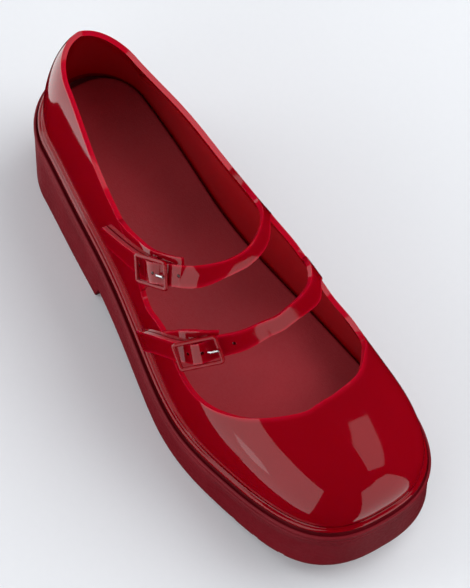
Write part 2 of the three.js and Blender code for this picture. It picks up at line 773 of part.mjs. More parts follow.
const root = new THREE.Group();
const upperMaterial = new THREE.MeshStandardMaterial({ name: "gloss_pvc", color: 0x8a000f, roughness: 0.12 });
const soleMaterial = new THREE.MeshStandardMaterial({ name: "matte_pvc", color: 0x8c2230, roughness: 0.6 });
const insoleMaterial = new THREE.MeshStandardMaterial({ name: "insole_pvc", color: 0x82232a, roughness: 0.7 });
const add = (name, geometry, material) => {
  const mesh = new THREE.Mesh(geometry, material);
  mesh.name = name;
  root.add(mesh);
};
add("sole", makeSole(), soleMaterial);
add("upper", makeUpper(), upperMaterial);
add("insole", makeInsole(), insoleMaterial);
const prongMaterial = new THREE.MeshStandardMaterial({ name: "prong_metal", color: 0xc8c8cc, metalness: 1, roughness: 0.2 });
for (const [name, { strip }] of Object.entries(BUCKLES)) {
  add("buckle_frame_" + name, makeFrame(strip), upperMaterial);
  add("buckle_prong_" + name, makeProng(strip), prongMaterial);
}

export default root;
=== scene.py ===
# Looks of the double-strap platform mary jane, right foot.
# Shapes are worked out in millimetres from the same sizes as the solids, and set in metres.
# +X runs from heel to toe, +Y to the medial side, +Z up; the origin is the middle of the heel's underside.
import math

import bpy
import numpy as np
from mathutils import Matrix, Vector


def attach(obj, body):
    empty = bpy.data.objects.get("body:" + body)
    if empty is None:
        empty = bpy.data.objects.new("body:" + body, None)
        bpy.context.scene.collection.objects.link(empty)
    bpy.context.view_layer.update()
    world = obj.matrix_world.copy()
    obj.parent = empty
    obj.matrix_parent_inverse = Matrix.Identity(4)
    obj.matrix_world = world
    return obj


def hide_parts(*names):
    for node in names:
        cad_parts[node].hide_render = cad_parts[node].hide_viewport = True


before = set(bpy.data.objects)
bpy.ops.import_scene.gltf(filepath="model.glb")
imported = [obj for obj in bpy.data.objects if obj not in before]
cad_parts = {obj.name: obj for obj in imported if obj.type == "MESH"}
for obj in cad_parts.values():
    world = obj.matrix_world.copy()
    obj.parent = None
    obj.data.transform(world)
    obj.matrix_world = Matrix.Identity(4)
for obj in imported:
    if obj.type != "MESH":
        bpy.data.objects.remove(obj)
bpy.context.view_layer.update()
MM = 0.001

# Sizes of the shoe, in millimetres
LENGTH = 262
BALL_WIDTH = 92
HEEL_HEIGHT = 49
BALL_HEIGHT = 31
HEEL_LENGTH = 86
HEEL_LIFT = 13.4
TOE_SPRING = 15.5
INSTEP_HEIGHT = 82
WALL = 2.4
STRAP_WALL = 2.1
STRAP_WIDTH = 9.4
GAP = 0.3
BASE_INSET = 3
LIP_HEIGHT = 2.6
LIP_REACH = 2.6
RIM_BAND = 3.5
RIM_REACH = 1.2
TOE_FLARE = 1.4
TREAD_DEPTH = 1.2
TREAD_WIDTH = 3
INSOLE_THICKNESS = 2.6
INSOLE_GAP = 0.65
INSOLE_HEEL_GAP = 3.2
FRAME_LENGTH = 22.0
FRAME_TILT = 3
FRAME_BAR = 1.8
CENTRE_BAR = 1.4
PRONG = 1.1
ORIGIN_X = HEEL_LENGTH / 2
FRAME_WIDTH = STRAP_WIDTH + 2 * (FRAME_BAR + GAP)
BAR_SEAT = 1.5 * GAP
BAR_RISE = BAR_SEAT + CENTRE_BAR + 0.6 * GAP
BULGE_RUN = FRAME_LENGTH / 2 - 2.2 * FRAME_BAR


# Smooth curve through a table: natural cubic
def curve(rows, column=1):
    x = np.array([row[0] for row in rows], float)
    y = np.array([row[column] for row in rows], float)
    step = np.diff(x)
    system = np.eye(len(x))
    right = np.zeros(len(x))
    for i in range(1, len(x) - 1):
        system[i, i - 1 : i + 2] = step[i - 1] / 6, (step[i - 1] + step[i]) / 3, step[i] / 6
        right[i] = (y[i + 1] - y[i]) / step[i] - (y[i] - y[i - 1]) / step[i - 1]
    bend = np.linalg.solve(system, right)

    def at(value):
        t = np.clip(value, x[0], x[-1])
        i = np.clip(np.searchsorted(x, t) - 1, 0, len(x) - 2)
        h = step[i]
        a = (x[i + 1] - t) / h
        b = (t - x[i]) / h
        return a * y[i] + b * y[i + 1] + ((a**3 - a) * bend[i] + (b**3 - b) * bend[i + 1]) * h * h / 6

    return at


def mix(a, b, t):
    return a + (b - a) * t


def smooth(v, lo, hi):
    t = np.clip((v - lo) / (hi - lo), 0, 1)
    return t * t * (3 - 2 * t)


# Plan of the sole edge: share of LENGTH, centre line and half width as shares of BALL_WIDTH
PLAN = [
    (0, 0, 0.304),
    (0.12, 0, 0.326),
    (0.25, -0.011, 0.35),
    (0.38, -0.022, 0.37),
    (0.52, -0.016, 0.435),
    (0.66, 0.005, 0.496),
    (0.78, 0.046, 0.489),
    (0.9, 0.078, 0.456),
    (1, 0.087, 0.451),
]
# Rounded ends of the plan: length as share of BALL_WIDTH, power
HEEL_END = (0.326, 2)
TOE_END = (0.565, 2.55)
# Sole top: share of LENGTH, share of the way down from heel height to ball height
TOP = [
    (0, 0),
    (0.1, 0.01),
    (0.19, 0.083),
    (0.3, 0.206),
    (0.39, 0.389),
    (0.51, 0.706),
    (0.585, 0.889),
    (0.675, 1.011),
    (0.73, 0.944),
    (0.79, 0.778),
    (0.865, 0.533),
    (0.91, 0.378),
    (0.955, 0.211),
    (1, 0.04),
]
# Crest of the closed last above the sole top: share of LENGTH, share of INSTEP_HEIGHT
CREST = [
    (0, 1),
    (0.08, 0.963),
    (0.2, 0.927),
    (0.32, 0.963),
    (0.42, 1),
    (0.5, 1),
    (0.546, 0.988),
    (0.6, 0.878),
    (0.65, 0.768),
    (0.71, 0.622),
    (0.79, 0.5),
    (0.85, 0.457),
    (0.91, 0.415),
    (0.955, 0.372),
    (1, 0.305),
]
# Cross-sections, by share of the sole edge from heel to toe: squareness and outward bulge
# (share of BALL_WIDTH) of the medial and the lateral side, and the sweep of the section
SECTIONS = [
    (0, 2.0, 0, 2.0, 0, 1),
    (0.12, 2.0, -0.034, 2.0, 0, 1),
    (0.28, 2.55, 0.004, 2.14, 0, 1),
    (0.4, 2.85, 0.014, 2.3, 0, 1.32),
    (0.5, 2.9, 0.005, 2.36, 0, 1.65),
    (0.58, 3.1, -0.004, 2.42, 0, 1.8),
    (0.66, 3.1, 0.018, 2.56, 0.0016, 1.83),
    (0.78, 3.1, 0.024, 2.76, 0.005, 1.8),
    (0.9, 3.05, 0.012, 2.94, 0.0055, 1.35),
    (1, 3.0, 0.0055, 3.0, 0.0055, 1),
]
# Crest point each section runs up to: place along the edge, share of LENGTH
CREST_LINE = [
    (0, 0.1336),
    (0.06, 0.1347),
    (0.12, 0.147),
    (0.18, 0.1794),
    (0.26, 0.2557),
    (0.36, 0.3588),
    (0.5, 0.4561),
    (0.62, 0.5324),
    (0.72, 0.5992),
    (0.8, 0.6603),
    (0.87, 0.7156),
    (0.94, 0.7595),
    (1, 0.7748),
]
# Top edge of the wall: place along the edge (lateral side negative, heel 0), share over the last
RIM = [
    (-1, 0.926),
    (-0.97, 0.896),
    (-0.94, 0.846),
    (-0.9, 0.768),
    (-0.854, 0.678),
    (-0.813, 0.602),
    (-0.765, 0.522),
    (-0.72, 0.453),
    (-0.68, 0.395),
    (-0.645, 0.358),
    (-0.61, 0.346),
    (-0.575, 0.352),
    (-0.542, 0.343),
    (-0.514, 0.31),
    (-0.49, 0.28),
    (-0.47, 0.285),
    (-0.445, 0.32),
    (-0.41, 0.352),
    (-0.37, 0.371),
    (-0.33, 0.38),
    (-0.281, 0.407),
    (-0.235, 0.446),
    (-0.19, 0.485),
    (-0.145, 0.515),
    (-0.1, 0.532),
    (-0.05, 0.54),
    (0, 0.535),
    (0.06, 0.52),
    (0.12, 0.51),
    (0.18, 0.505),
    (0.24, 0.49),
    (0.29, 0.47),
    (0.33, 0.455),
    (0.37, 0.45),
    (0.41, 0.455),
    (0.45, 0.465),
    (0.48, 0.455),
    (0.505, 0.425),
    (0.535, 0.415),
    (0.56, 0.4),
    (0.585, 0.365),
    (0.61, 0.325),
    (0.637, 0.34),
    (0.67, 0.385),
    (0.71, 0.44),
    (0.753, 0.514),
    (0.798, 0.578),
    (0.839, 0.642),
    (0.878, 0.723),
    (0.916, 0.806),
    (0.96, 0.886),
    (1, 0.926),
]
# Straps and tabs: root on the wall's top edge, then rows of back edge (place, share over the last)
# and front edge (the same); a share above 1 has crossed the crest to the lateral side
STRIPS = {
    "strap_rear": (
        (0.39, 0.488),
        1,
        [
            (0.39, 0.448, 0.488, 0.45),
            (0.455, 0.5, 0.52, 0.555),
            (0.513, 0.595, 0.569, 0.656),
            (0.578, 0.72, 0.624, 0.756),
            (0.64, 0.875, 0.672, 0.885),
            (0.656, 1.0, 0.686, 1.005),
            (0.612, 1.207, 0.637, 1.235),
            (0.535, 1.36, 0.562, 1.405),
            (0.443, 1.55, 0.462, 1.605),
            (0.343, 1.751, 0.363, 1.806),
        ],
    ),
    "strap_front": (
        (0.562, 0.59),
        1,
        [
            (0.562, 0.398, 0.59, 0.355),
            (0.59, 0.475, 0.613, 0.45),
            (0.624, 0.55, 0.65, 0.552),
            (0.684, 0.657, 0.706, 0.639),
            (0.738, 0.764, 0.763, 0.756),
            (0.774, 0.87, 0.8, 0.873),
            (0.789, 0.985, 0.816, 0.995),
            (0.775, 1.11, 0.8, 1.12),
            (0.741, 1.228, 0.764, 1.247),
            (0.7, 1.315, 0.722, 1.346),
            (0.652, 1.417, 0.67, 1.46),
            (0.591, 1.556, 0.606, 1.595),
            (0.479, 1.902, 0.509, 1.922),
        ],
    ),
    "tab_rear": (
        (-0.362, -0.464),
        -1,
        [
            (0.362, 0.372, 0.464, 0.3),
            (0.392, 0.41, 0.478, 0.385),
            (0.426, 0.464, 0.495, 0.46),
            (0.461, 0.526, 0.518, 0.525),
            (0.5, 0.607, 0.543, 0.585),
            (0.55, 0.705, 0.572, 0.66),
        ],
    ),
    "tab_front": (
        (-0.545, -0.594),
        -1,
        [
            (0.545, 0.342, 0.594, 0.348),
            (0.572, 0.425, 0.606, 0.42),
            (0.6, 0.5, 0.622, 0.48),
            (0.632, 0.57, 0.645, 0.53),
            (0.667, 0.635, 0.675, 0.585),
            (0.702, 0.7, 0.705, 0.64),
        ],
    ),
}
# Buckles: strap, share of its length under the centre bar
BUCKLES = {"rear": ("strap_rear", 0.663), "front": ("strap_front", 0.614)}

half_width = curve(PLAN, 2)
centre = curve(PLAN, 1)
top_share = curve(TOP)
crest_share = curve(CREST)
medial_power, medial_bulge, lateral_power, lateral_bulge, sweep = [curve(SECTIONS, i) for i in range(1, 6)]
crest_line = curve(CREST_LINE)
rim = curve(RIM)


def sole_top(x):
    return mix(HEEL_HEIGHT, BALL_HEIGHT, top_share(x / LENGTH))


# A point of the sole edge at turn t (0 heel, 1 toe) on one side
def plan_point(side, t):
    x = LENGTH / 2 * (1 - np.cos(np.pi * t))
    heel = BALL_WIDTH * HEEL_END[0]
    toe = BALL_WIDTH * TOE_END[0]
    a = np.clip((heel - x) / heel, 0, 1)
    b = np.clip((x - LENGTH + toe) / toe, 0, 1)
    ends = (1 - a ** HEEL_END[1]) ** (1 / HEEL_END[1]) * (1 - b ** TOE_END[1]) ** (1 / TOE_END[1])
    return x, BALL_WIDTH * (centre(x / LENGTH) + side * half_width(x / LENGTH) * ends)


TURNS = np.linspace(0, 1, 401)
edge_shares = {}
for one_side in (1, -1):
    px, py = plan_point(one_side, TURNS)
    run = np.concatenate([[0], np.cumsum(np.hypot(np.diff(px), np.diff(py)))])
    edge_shares[one_side] = run / run[-1]


def edge_at_turn(side, t, inset):
    x, y = plan_point(side, t)
    x0, y0 = plan_point(side, np.maximum(t - 1e-3, 0))
    x1, y1 = plan_point(side, np.minimum(t + 1e-3, 1))
    long = np.hypot(x1 - x0, y1 - y0)
    nx = np.where(t <= 0, -1, np.where(t >= 1, 1, -(y1 - y0) / long * side))
    ny = np.where((t <= 0) | (t >= 1), 0, (x1 - x0) / long * side)
    return x - nx * inset, y - ny * inset


def edge(side, share, inset):
    medial_turn, lateral_turn = [np.interp(share, edge_shares[way], TURNS) for way in (1, -1)]
    turn = np.where(side > 0, medial_turn, lateral_turn)
    return edge_at_turn(side, turn, inset)


# Carries places past the crest over to the other side
def folded(side, s, v):
    side, s, v = np.broadcast_arrays(np.asarray(side, float), s, v)
    return np.where(v > 1, -side, side), s, np.where(v > 1, 2 - v, v)


# The closed last: place s along the edge, share v over the section (0 foot, 1 crest)
def last(side, s, v):
    side, s, v = folded(side, s, v)
    bx, by = edge(side, np.clip(s, 0, 1), BASE_INSET)
    tx = LENGTH * crest_line(s)
    ty = BALL_WIDTH * centre(tx / LENGTH)
    angle = v * np.pi / 2
    power = np.where(side > 0, medial_power(s), lateral_power(s))
    bulge = BALL_WIDTH * np.where(side > 0, medial_bulge(s), lateral_bulge(s))
    c = np.maximum(np.cos(angle), 0)
    d = np.maximum(np.sin(angle), 0)
    k = (c**power + d**power) ** (1 / power)
    out = c / k + bulge / np.hypot(bx - tx, by - ty) * np.sin(2 * angle)
    x = tx + (bx - tx) * np.maximum(out, 0) ** sweep(s)
    y = ty + (by - ty) * out
    z = sole_top(x) + GAP + INSTEP_HEIGHT * crest_share(x / LENGTH) * d / k
    return np.stack([x, y, z], -1)


def unit(v):
    return v / np.linalg.norm(v, axis=-1, keepdims=True)


def last_normal(side, s, v):
    side, s, v = folded(side, s, v)
    e = 2e-3
    s0 = np.clip(s, e, 1 - e)
    along = last(side, s0 + e, v) - last(side, s0 - e, v)
    over = last(side, s0, v + e) - last(side, s0, v - e)
    n = unit(np.cross(over, along))
    n[..., 1] = np.where((s < 1e-6) | (s > 1 - 1e-6), 0, n[..., 1])
    return unit(n * side[..., None])


# Edges of each strip by share of its length
strip_curves = {}
for strip_name, (_, strip_side, strip_rows) in STRIPS.items():
    table = np.array(strip_rows)
    middle = last(strip_side, (table[:, 0] + table[:, 2]) / 2, (table[:, 1] + table[:, 3]) / 2)
    run = np.concatenate([[0], np.cumsum(np.linalg.norm(np.diff(middle, axis=0), axis=1))])
    spaced = np.column_stack([run / run[-1], table])
    strip_curves[strip_name] = [curve(spaced, column) for column in (1, 2, 3, 4)]


# Place on the last of a strip: share t of its length, share k from back edge (0) to front edge (1)
def strip_place(name, t, k):
    back_s, back_v, front_s, front_v = [f(t) for f in strip_curves[name]]
    return mix(back_s, front_s, k), mix(back_v, front_v, k)


def strip_width(name, t):
    ends = [last(1, *strip_place(name, t, k)) for k in (0, 1)]
    return np.linalg.norm(ends[1] - ends[0], axis=-1)


# Length along a strap's middle from its buckle, towards the tail
length_of = {}
share_of = {}
for strap, at_share in BUCKLES.values():
    shares = np.linspace(0, 1, 101)
    middle = last(1, *strip_place(strap, shares, 0.5))
    steps = np.linalg.norm(np.diff(middle, axis=0), axis=1)
    reach = np.concatenate([[0], np.cumsum(steps)])
    reach = reach - curve(list(zip(shares, reach)))(at_share)
    length_of[strap] = curve(list(zip(shares, reach)))
    share_of[strap] = curve(list(zip(reach, shares)))


# The strap rises over the buckle's centre bar
def bar_lift(length):
    return BAR_RISE * (1 - smooth(np.abs(length), 0.16 * BULGE_RUN, BULGE_RUN))


CLIMB = (0.75, 1.25)  # share over the last between which a strap climbs onto its tab
NARROWING = (1, 1.35)  # and between which it comes to its steady width


# Height of a strap's outer face above the last: over the crest it climbs onto the lateral tab
def strip_lift(name, t, v):
    if STRIPS[name][1] < 0:
        return 0 * v
    return (STRAP_WALL + GAP) * smooth(v, *CLIMB) + bar_lift(length_of[name](t))


# Straps keep one width beyond the crest, to the tail
def strip_share(name, t, k):
    if STRIPS[name][1] < 0:
        return k
    past = smooth(strip_place(name, t, 0.5)[1], *NARROWING)
    return 0.5 + (k - 0.5) * mix(1, STRAP_WIDTH / strip_width(name, t), past)


# Middle and axes of a buckle: along the strap towards the tail, across it to the toe, outward
def buckle_axes(name):
    def on_strap(along, across):
        t = share_of[name](along)
        return last(1, *strip_place(name, t, 0.5 + across / strip_width(name, t)))

    along = unit(on_strap(1, 0) - on_strap(-1, 0))
    out = unit(np.cross(along, on_strap(0, 1) - on_strap(0, -1)))
    across = np.cross(out, along)
    a = math.radians(FRAME_TILT)
    tilted_along = along * math.cos(a) + out * math.sin(a)
    tilted_out = out * math.cos(a) - along * math.sin(a)
    return on_strap(0, 0), tilted_along, across, tilted_out


# Mesh bookkeeping
class Shell:
    def __init__(self):
        self.points = []
        self.marks = []
        self.faces = []
        self.count = 0

    # Points with marks for the material, one row of three numbers per point
    def add(self, points, marks=(0, 0, 0)):
        points = np.asarray(points, float)
        flat = points.reshape(-1, 3)
        self.marks.append(np.broadcast_to(marks, points.shape).reshape(-1, 3))
        index = self.count + np.arange(len(flat)).reshape(points.shape[:-1])
        self.points.append(flat)
        self.count += len(flat)
        return index

    def quads(self, a, b, c, d):
        self.faces.append(np.stack([a, b, c, d], -1).reshape(-1, 4))

    # Rows of one surface, each joined to the next and, if closed, its own end to its start
    def skin(self, rows, closed):
        rows = np.array(rows)
        turned = np.roll(rows, -1, axis=1)
        if not closed:
            rows = rows[:, :-1]
            turned = turned[:, :-1]
        self.quads(rows[:-1], rows[1:], turned[1:], turned[:-1])

    def object(self, name, turn_out=False):
        points = np.concatenate(self.points) - (ORIGIN_X, 0, 0)
        faces = [list(dict.fromkeys(face)) for face in np.concatenate(self.faces).tolist()]
        faces = [face[::-1] if turn_out else face for face in faces if len(face) > 2]
        mesh = bpy.data.meshes.new(name)
        mesh.from_pydata((points * MM).tolist(), [], faces)
        place = mesh.attributes.new("place", "FLOAT_VECTOR", "POINT")
        place.data.foreach_set("vector", np.concatenate(self.marks).ravel())
        mesh.validate()
        mesh.shade_smooth()
        thing = bpy.data.objects.new(name, mesh)
        bpy.context.scene.collection.objects.link(thing)
        return thing


def round_edges(thing, width, segments=3, angle=50):
    bevel = thing.modifiers.new("edges", "BEVEL")
    bevel.width = width * MM
    bevel.segments = segments
    bevel.limit_method = "ANGLE"
    bevel.angle_limit = math.radians(angle)
    normals = thing.modifiers.new("normals", "WEIGHTED_NORMAL")
    normals.keep_sharp = False


# Upper: one moulded wall with its straps and tabs
ACROSS = 10
WALL_ROWS = 30
COLUMN_STEP = 0.005
WALL_START = 0.06
ROOT_SHARE = 0.12
STRIP_STEP = 0.008
TAB_SHARE = 0.4  # rows of a tab as share of a strap's
EDGE_ROUND = 0.75
# painted glow: a bright band painted along thin edges as light, not a colour of the plastic
PAINTED_GLOW_WIDTH = 1.3  # width of the bright rim
RIM_ROW = 1.2  # height of one row of the wall
OFF_STRAP = 500  # mark of places away from the straps
# Lip at the wall's foot, a rounded bead above an undercut:
# share of LIP_REACH beyond the wall's foot, share of LIP_HEIGHT
LIP = [
    (-0.1, 0),
    (-0.1, 0.3),
    (0, 0.42),
    (0.3, 0.44),
    (0.55, 0.5),
    (0.72, 0.64),
    (0.8, 0.84),
    (0.82, 1.05),
    (0.77, 1.26),
    (0.64, 1.44),
    (0.46, 1.56),
    (0.3, 1.63),
    (0.18, 1.73),
    (0.12, 1.9),
]


# Share of painted glow by distance from an edge: light painted in along the thin plastic's edges
def painted_rim_light(distance):
    return 1 - smooth(distance, 0, PAINTED_GLOW_WIDTH)


# Places of the wall's columns around the foot, and which of them each strip grows from
def wall_columns():
    roots = [(min(root), max(root), name) for name, (root, _, _) in STRIPS.items()]
    marks = sorted(roots + [(0, 0, None)])
    places = []
    spans = {}
    reached = -1
    for start, end, name in marks + [(1, 1, None)]:
        count = max(4, round((start - reached) / COLUMN_STEP))
        places += [mix(reached, start, i / count) for i in range(count)]
        if name:
            spans[name] = (len(places), len(places) + ACROSS)
            places += [mix(start, end, i / ACROSS) for i in range(ACROSS)]
        reached = end
    return np.array(places), spans


# Marks: along and across the strap, or OFF_STRAP; both are OFF_STRAP on the wall's inner face; the third is
# the share of painted rim glow
def make_upper():
    shell = Shell()
    places, spans = wall_columns()
    side = np.where(places < 0, -1, 1)
    s = np.abs(places)
    top = rim(places)

    def foot(inset, height):
        x, y = edge(side, s, inset)
        return shell.add(np.stack([x, y, sole_top(x) + GAP + height], -1))

    outer = [foot(BASE_INSET - LIP_REACH * reach, LIP_HEIGHT * height) for reach, height in LIP]
    inner = [foot(BASE_INSET + WALL, 0)]
    for j in range(WALL_ROWS + 1):
        v = mix(WALL_START, top, j / WALL_ROWS)
        point = last(side, s, v)
        # third mark paints a glow of light along the wall's top rim
        mark = (OFF_STRAP, 0, painted_rim_light((WALL_ROWS - j) * RIM_ROW))
        outer.append(shell.add(point, mark))
        inner.append(shell.add(point - WALL * last_normal(side, s, v), (OFF_STRAP, OFF_STRAP, mark[2])))
    shell.skin(outer, True)
    shell.skin(inner[::-1], True)
    shell.skin([inner[0], outer[0]], True)
    bare = np.ones(len(places), bool)
    for name, (first, end) in spans.items():
        bare[first:end] = False
        add_strip(shell, name, places, top, outer[-1], inner[-1], first, end)
    joined = np.stack([outer[-1], inner[-1]])
    turned = np.roll(joined, -1, axis=1)
    shell.quads(joined[0][bare], joined[1][bare], turned[1][bare], turned[0][bare])
    return shell.object("upper_skin", True)


# A strip grown out of the wall's columns from first to end
def add_strip(shell, name, places, top, wall_outer, wall_inner, first, end):
    side = STRIPS[name][1]
    root_s = np.abs(places[first : end + 1])
    k = np.linspace(0, 1, ACROSS + 1)
    if root_s[0] > root_s[-1]:
        k = k[::-1]
    faces = [(wall_outer[first : end + 1], wall_inner[first : end + 1])]
    count = round((1 if side > 0 else TAB_SHARE) / STRIP_STEP)
    for t in np.linspace(0, 1, count + 1)[1:]:
        s, v = strip_place(name, t, strip_share(name, t, k))
        s0, v0 = strip_place(name, 0, k)
        fade = max(1 - t / ROOT_SHARE, 0) ** 2
        s = s + (root_s - s0) * fade
        v = v + (top[first : end + 1] - v0) * fade
        point = last(side, s, v)
        normal = last_normal(side, s, v)
        lift = strip_lift(name, t, v)
        wall = mix(WALL, STRAP_WALL, smooth(t, 0, 2 * ROOT_SHARE))
        along = length_of[name](t) if side > 0 else OFF_STRAP
        across = (strip_share(name, t, k) - 0.5) * strip_width(name, t)
        # painted glow: light painted along the strap's edges
        edge_light_share = painted_rim_light(strip_width(name, t) * np.minimum(k, 1 - k)) * smooth(t, 0, ROOT_SHARE)
        mark = np.stack([along + 0 * across, across, edge_light_share], -1)
        faces.append(
            (
                shell.add(point + normal * lift[:, None], mark),
                shell.add(point + normal * (lift - wall)[:, None], mark),
            )
        )
    outer = [pair[0] for pair in faces]
    inner = [pair[1] for pair in faces]
    shell.skin(outer, False)
    shell.skin(inner[::-1], False)
    low = np.stack([[o[0], i[0]] for o, i in faces])
    high = np.stack([[o[-1], i[-1]] for o, i in faces])
    shell.quads(low[:-1, 0], low[:-1, 1], low[1:, 1], low[1:, 0])
    shell.quads(high[:-1, 1], high[:-1, 0], high[1:, 0], high[1:, 1])
    tip_o, tip_i = faces[-1]
    shell.quads(tip_o[:-1], tip_i[:-1], tip_i[1:], tip_o[1:])


# Sole: platform and heel block in one, with a channel under the upper's lip
BALL_FLAT = (0.605, 0.69)
BREAST_RUN = 0.3 * HEEL_LIFT
HEEL_GROOVES = [0.25, 0.4, 0.55, 0.7]
BALL_GROOVES = [0.615, 0.665, 0.715, 0.765, 0.815, 0.865, 0.915]
SOLE_STATIONS = 180
BELOW_LINES = 2.9  # depth mark of the plain side, as share of RIM_BAND
# Side of the sole, with the channel first: measured from its top or bottom, reach as share of
# RIM_REACH, distance as share of RIM_BAND
SOLE_SIDE = [
    ("top", -2.7, 0),
    ("top", -2.4, 0.3),
    ("top", -0.75, 0.34),
    ("top", -0.35, 0.28),
    ("top", -0.1, 0.02),
    ("top", 0.17, 0),
    ("top", 0.55, 0.03),
    ("top", 0.86, 0.12),
    ("top", 1, 0.3),
    ("top", 1.02, 0.6),
    ("top", 0.98, 0.84),
    ("top", 0.82, 0.97),
    ("top", 0.48, 1.04),
    ("top", 0.4, 1.14),
    ("top", 0.48, 1.24),
    ("top", 0.82, 1.3),
    ("top", 0.92, 1.42),
    ("top", 0.83, 2.86),
    ("bottom", 0.83, 0.86),
    ("bottom", 0.78, 0.5),
    ("bottom", 0.55, 0.2),
    ("bottom", 0.2, 0.04),
    ("bottom", -0.25, 0),
]


def sole_bottom(x):
    start, end = [share * LENGTH for share in BALL_FLAT]
    arch = HEEL_LENGTH + BREAST_RUN
    breast = HEEL_LIFT * (x - HEEL_LENGTH) / BREAST_RUN
    shank = HEEL_LIFT * (np.clip(start - x, 0, None) / (start - arch)) ** 1.15
    spring = TOE_SPRING * (np.clip(x - end, 0, None) / (LENGTH - end)) ** 1.7
    return np.where(x <= HEEL_LENGTH, 0, np.where(x < arch, breast, np.where(x < start, shank, spring)))


# Stations along the sole and the depth of the tread grooves at each
def sole_stations():
    slope = 0.4 * TREAD_DEPTH
    grooves = [share * HEEL_LENGTH for share in HEEL_GROOVES] + [share * LENGTH for share in BALL_GROOVES]
    plain = [HEEL_LENGTH, HEEL_LENGTH + BREAST_RUN] + [share * LENGTH for share in BALL_FLAT]
    plain += (LENGTH / 2 * (1 - np.cos(np.linspace(0, np.pi, SOLE_STATIONS)))).tolist()
    near = slope / 2
    clear = [(x, 0) for x in plain if all(x < g - near or x > g + TREAD_WIDTH + near for g in grooves)]
    cut = []
    for g in grooves:
        far = g + TREAD_WIDTH
        cut += [(g, 0), (g + slope, TREAD_DEPTH), (far - slope, TREAD_DEPTH), (far, 0)]
    return np.array(sorted(clear + cut)).T


# Marks: depth below the top of the sole; the tread grooves run out up the side
def make_sole():
    shell = Shell()
    x, groove = sole_stations()
    t = np.arccos(np.clip(1 - 2 * x / LENGTH, -1, 1)) / np.pi
    loops = []
    for start, reach, height in SOLE_SIDE:
        flare = TOE_FLARE * smooth(x / LENGTH, 0.8, 0.97) if start == "bottom" else 0
        cut = groove * (1 - smooth(height, 0.04, 0.3 + 0.6 * smooth(x / LENGTH, 0.75, 0.85)))
        z = sole_top(x) - RIM_BAND * height if start == "top" else sole_bottom(x) + cut + RIM_BAND * height
        mark = (RIM_BAND * (height if start == "top" else BELOW_LINES), 0, 0)
        sides = []
        for side in (1, -1):
            px, py = edge_at_turn(side, t, -RIM_REACH * reach - flare)
            sides.append(shell.add(np.stack([px, py, z], -1), mark))
        sides[1][[0, -1]] = sides[0][[0, -1]]
        loops.append(np.concatenate([sides[0], sides[1][-2:0:-1]]))
    shell.skin(loops, True)
    count = len(x)
    for loop, flip in ((loops[0], False), (loops[-1], True)):
        medial = loop[:count]
        lateral = np.concatenate([loop[:1], loop[: count - 2 : -1]])
        corners = (medial[:-1], medial[1:], lateral[1:], lateral[:-1])
        shell.quads(*(corners[::-1] if flip else corners))
    return shell.object("sole_skin")


# Insole: a thin footbed inside the wall
INSOLE_EDGE = [(0.2, 0), (0, 0.2), (0, 0.7), (0.05, 0.85), (0.16, 0.96), (0.35, 1), (0.6, 1)]
INSOLE_TURNS = 160


def make_insole():
    shell = Shell()
    t = np.linspace(0, 1, INSOLE_TURNS)
    inset = BASE_INSET + WALL + INSOLE_GAP + INSOLE_HEEL_GAP * (1 - smooth(t, 0, 0.16))
    loops = []
    for set_in, height in INSOLE_EDGE:
        sides = []
        for side in (1, -1):
            x, y = edge_at_turn(side, t, inset + INSOLE_THICKNESS * set_in)
            sides.append(shell.add(np.stack([x, y, sole_top(x) + GAP + INSOLE_THICKNESS * height], -1)))
        sides[1][[0, -1]] = sides[0][[0, -1]]
        loops.append(np.concatenate([sides[0], sides[1][-2:0:-1]]))
    shell.skin(loops, True)
    for loop, flip in ((loops[0], False), (loops[-1], True)):
        medial = loop[:INSOLE_TURNS]
        lateral = np.concatenate([loop[:1], loop[: INSOLE_TURNS - 2 : -1]])
        corners = (medial[:-1], medial[1:], lateral[1:], lateral[:-1])
        shell.quads(*(corners[::-1] if flip else corners))
    return shell.object("insole_skin", True)


# Buckles: straight bars, placed by length along the strap, distance across it and height
# above the last
# Each station carries the section's two measures to a place in the buckle's axes.
def sweep_bar(shell, name, section, stations, closed):
    middle, *axes = buckle_axes(name)
    section = np.array(section)
    rings = []
    for place in stations:
        rings.append(shell.add(middle + np.stack(place(section[:, 0], section[:, 1]), -1) @ np.array(axes)))
    rings = np.array(rings)
    if closed:
        rings = np.concatenate([rings, rings[:1]])
    shell.skin(rings, True)
    if not closed:
        for ring, flip in ((rings[0], False), (rings[-1], True)):
            half = len(ring) // 2
            a, b = ring[:half], ring[half:][::-1]
            corners = (a[:-1], a[1:], b[1:], b[:-1])
            shell.quads(*(corners[::-1] if flip else corners))


LONG_SIDE_STEPS = 14
SHORT_SIDE_STEPS = 9
BAR_STEPS = 12
PRONG_STEPS = 14


# Section of a bar with rounded corners: half sizes, middle height, corner radius
def rounded_section(half_out, half_up, middle, radius, corner_steps=3):
    points = []
    for turn, (sx, sy) in enumerate([(1, 1), (-1, 1), (-1, -1), (1, -1)]):
        for i in range(corner_steps + 1):
            a = (turn + i / corner_steps) * math.pi / 2
            points.append(
                (
                    sx * (half_out - radius) + radius * math.cos(a),
                    middle + sy * (half_up - radius) + radius * math.sin(a),
                )
            )
    return points


# Station of a bar that runs across the strap
def crosswise(y):
    return lambda out, up: (out, 0 * out + y, up)


